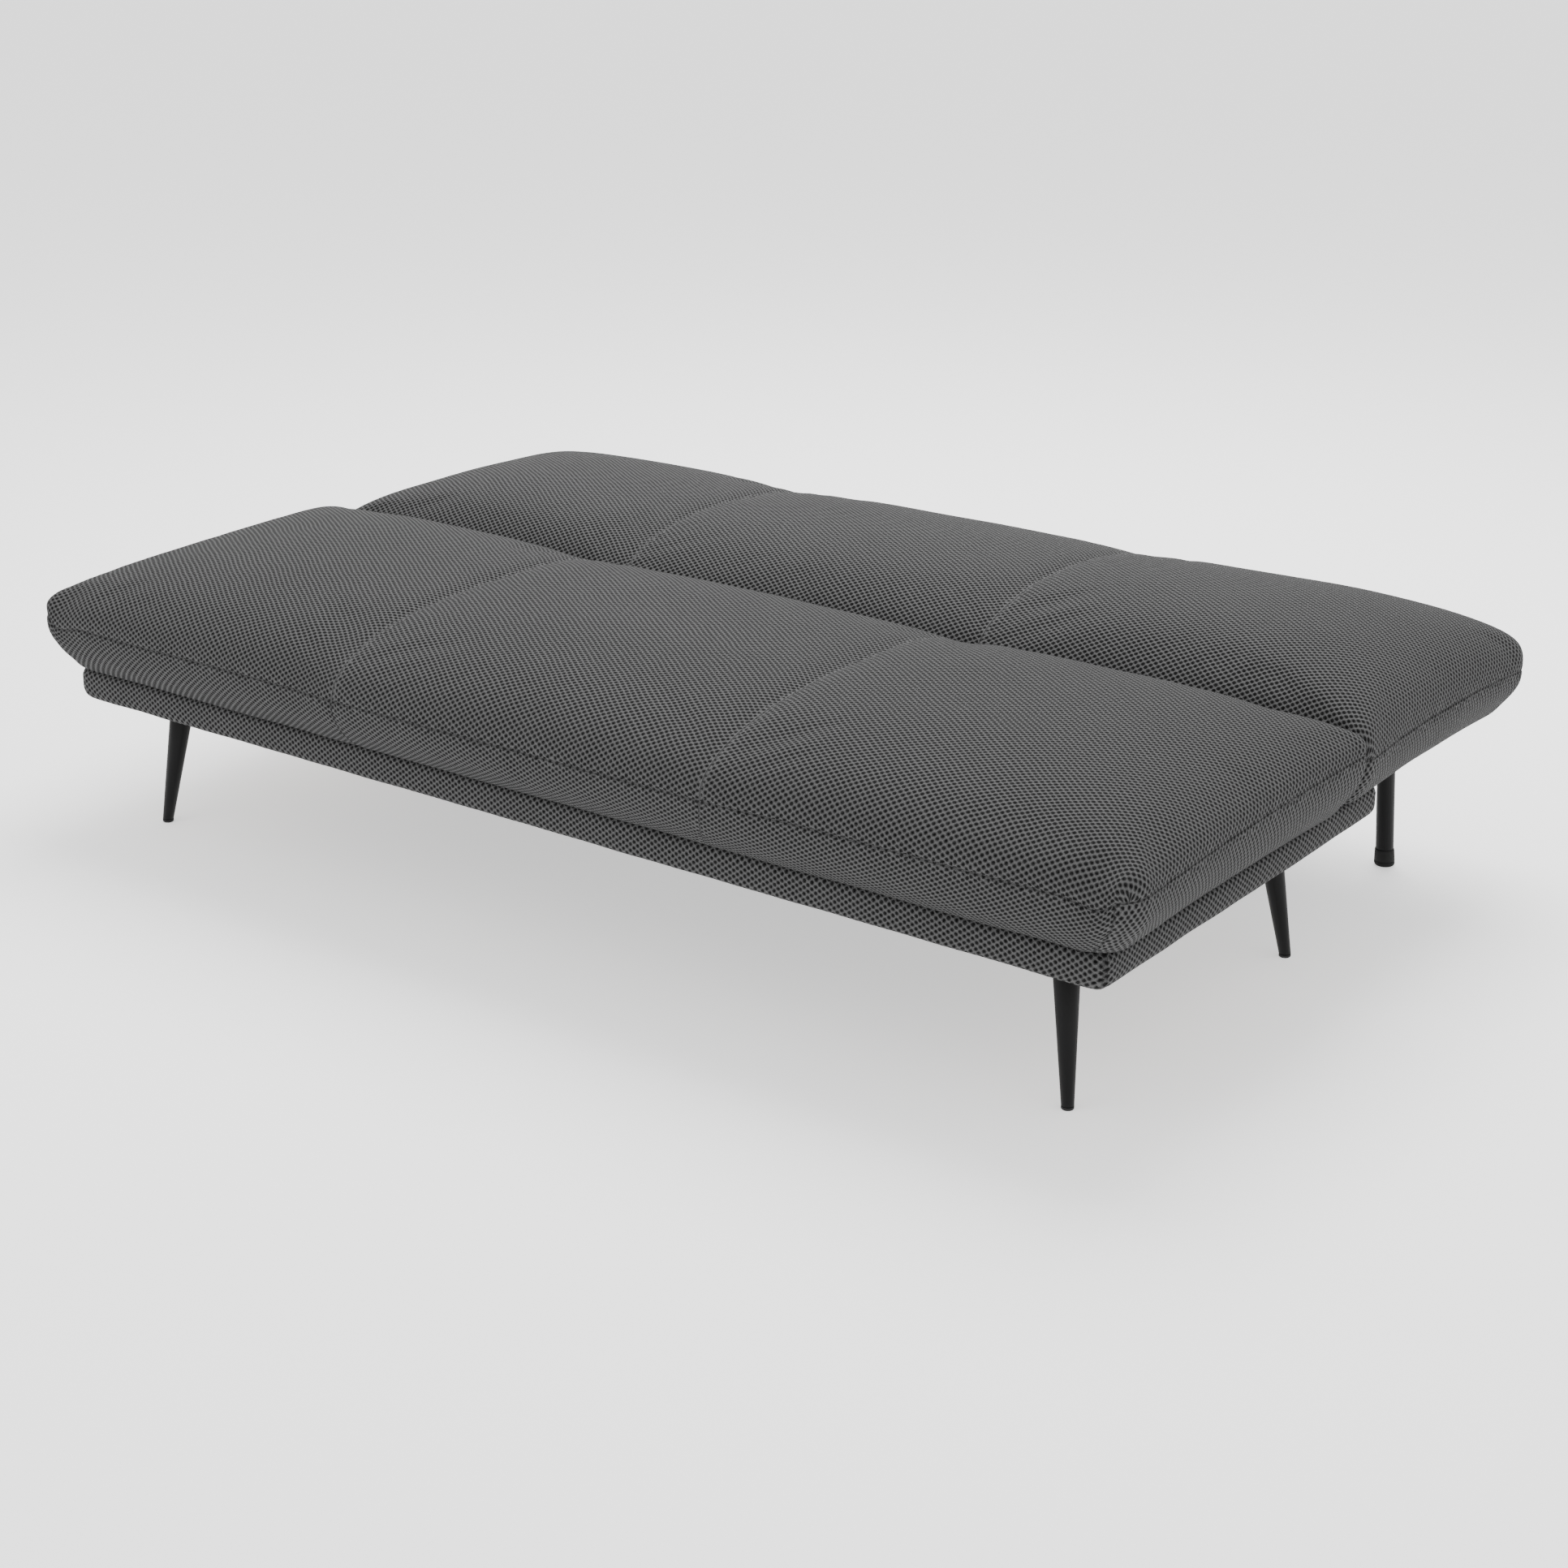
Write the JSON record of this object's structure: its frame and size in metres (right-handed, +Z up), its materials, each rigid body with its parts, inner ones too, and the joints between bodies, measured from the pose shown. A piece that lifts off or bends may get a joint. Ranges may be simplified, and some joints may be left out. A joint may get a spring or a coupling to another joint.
{
  "type": "sofa bed",
  "caption": "Armless click-clack sofa bed lying flat: a padded seat on splayed tapered legs, and a back that folds up on hinges and rests on folding support legs.",
  "frame": {"origin": "on the floor, under the middle of the outline of the bed lying flat", "axes": "+X along the width, +Y from the seat's front edge towards the back section, +Z up"},
  "size_m": [1.8, 1.095, 0.4124],
  "materials": {
    "mesh_fabric": "dark grey knitted spacer mesh with small oval holes",
    "lining_fabric": "black non-woven lining",
    "foam": "open-cell polyurethane foam",
    "frame_wood": "planed softwood",
    "slat_wood": "moulded birch slats",
    "panel_wood": "plain plywood",
    "black_metal": "satin black powder coat",
    "zinc_steel": "zinc plated",
    "black_rubber": "matte",
    "black_plastic": "matte"
  },
  "bodies": {
    "seat": {"base_cover": "mesh_fabric", "base_front_rail": "frame_wood", "base_left_bearer": "frame_wood", "base_left_rail": "frame_wood", "base_rear_rail": "frame_wood", "base_right_bearer": "frame_wood", "base_right_rail": "frame_wood", "dust_cover": "lining_fabric", "glide_front_left": "black_plastic", "glide_front_right": "black_plastic", "glide_rear_left": "black_plastic", "glide_rear_right": "black_plastic", "hinge_pin_left": "zinc_steel", "hinge_pin_right": "zinc_steel", "hinge_ratchet_left": "zinc_steel", "hinge_ratchet_right": "zinc_steel", "hinge_seat_arm_left": "zinc_steel", "hinge_seat_arm_right": "zinc_steel", "leg_front_left": "black_metal", "leg_front_right": "black_metal", "leg_plate_front_left": "zinc_steel", "leg_plate_front_right": "zinc_steel", "leg_plate_rear_left": "zinc_steel", "leg_plate_rear_right": "zinc_steel", "leg_rear_left": "black_metal", "leg_rear_right": "black_metal", "leg_stud_front_left": "zinc_steel", "leg_stud_front_right": "zinc_steel", "leg_stud_rear_left": "zinc_steel", "leg_stud_rear_right": "zinc_steel", "seat_cover": "mesh_fabric", "seat_foam": "foam", "seat_rear_rail": "frame_wood", "seat_slat_1": "slat_wood", "seat_slat_2": "slat_wood", "seat_slat_3": "slat_wood", "seat_slat_4": "slat_wood", "seat_slat_5": "slat_wood", "seat_slat_6": "slat_wood"},
    "back": {"back_cover": "mesh_fabric", "back_foam": "foam", "back_inner_rail": "frame_wood", "back_left_rail": "frame_wood", "back_lining": "lining_fabric", "back_outer_rail": "frame_wood", "back_panel": "panel_wood", "back_right_rail": "frame_wood", "hinge_back_arm_left": "zinc_steel", "hinge_back_arm_right": "zinc_steel", "support_bracket_left": "black_metal", "support_bracket_right": "black_metal", "support_pin_left": "zinc_steel", "support_pin_right": "zinc_steel"},
    "support_left": {"support_cap_left": "black_rubber", "support_leg_left": "black_metal"},
    "support_right": {"support_cap_right": "black_rubber", "support_leg_right": "black_metal"}
  },
  "joints": [
    {"name": "back_fold", "type": "hinge", "parent": "seat", "child": "back", "pos_m": [0, 0.04, 0.333], "axis": [1, 0, 0], "range_deg": [0, 75]},
    {"name": "support_left_fold", "type": "hinge", "parent": "back", "child": "support_left", "pos_m": [-0.73, 0.43474, 0.222], "axis": [-1, 0, 0], "range_deg": [0, 86]},
    {"name": "support_right_fold", "type": "hinge", "parent": "back", "child": "support_right", "pos_m": [0.73, 0.43474, 0.222], "axis": [-1, 0, 0], "range_deg": [0, 86]}
  ]
}
